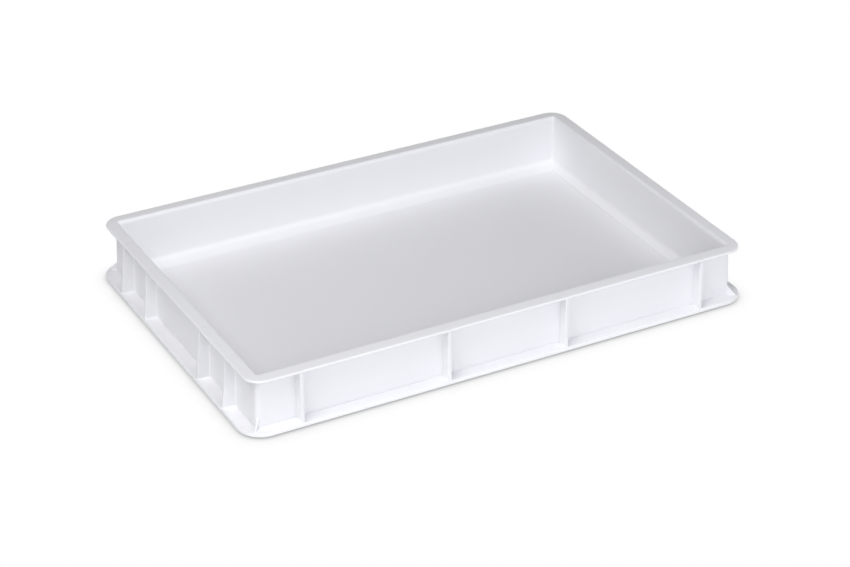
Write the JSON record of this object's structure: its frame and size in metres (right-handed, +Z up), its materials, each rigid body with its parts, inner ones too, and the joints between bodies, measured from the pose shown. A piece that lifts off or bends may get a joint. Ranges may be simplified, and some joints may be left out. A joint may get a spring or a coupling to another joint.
{
  "type": "dough box",
  "caption": "Open white plastic dough box, a shallow stacking tray with a flat rim, a base flange, upright ribs and a smooth coved inside.",
  "frame": {"origin": "under the middle of the tray, on the plane that its floor stands on", "axes": "+X along the long sides, +Y from the front to the back, +Z up through the open top"},
  "size_m": [0.6, 0.4, 0.0665],
  "materials": {
    "body": "white food-grade polyethylene, fine satin as moulded"
  },
  "bodies": {
    "root": {"floor_panel": "body", "floor_cove_front": "body", "floor_cove_back": "body", "floor_cove_left": "body", "floor_cove_right": "body", "wall_front": "body", "wall_back": "body", "wall_left": "body", "wall_right": "body", "rim_front": "body", "rim_back": "body", "rim_left": "body", "rim_right": "body", "base_flange_front": "body", "base_flange_back": "body", "base_flange_left": "body", "base_flange_right": "body", "rib_front_1": "body", "rib_front_2": "body", "rib_front_3": "body", "rib_front_4": "body", "rib_back_1": "body", "rib_back_2": "body", "rib_back_3": "body", "rib_back_4": "body", "rib_left_1": "body", "rib_left_2": "body", "rib_left_3": "body", "rib_left_4": "body", "rib_right_1": "body", "rib_right_2": "body", "rib_right_3": "body", "rib_right_4": "body", "corner_gusset_front_left": "body", "corner_gusset_front_right": "body", "corner_gusset_back_right": "body", "corner_gusset_back_left": "body", "rim_gusset_front_left": "body", "rim_gusset_front_right": "body", "rim_gusset_back_right": "body", "rim_gusset_back_left": "body"}
  },
  "joints": []
}
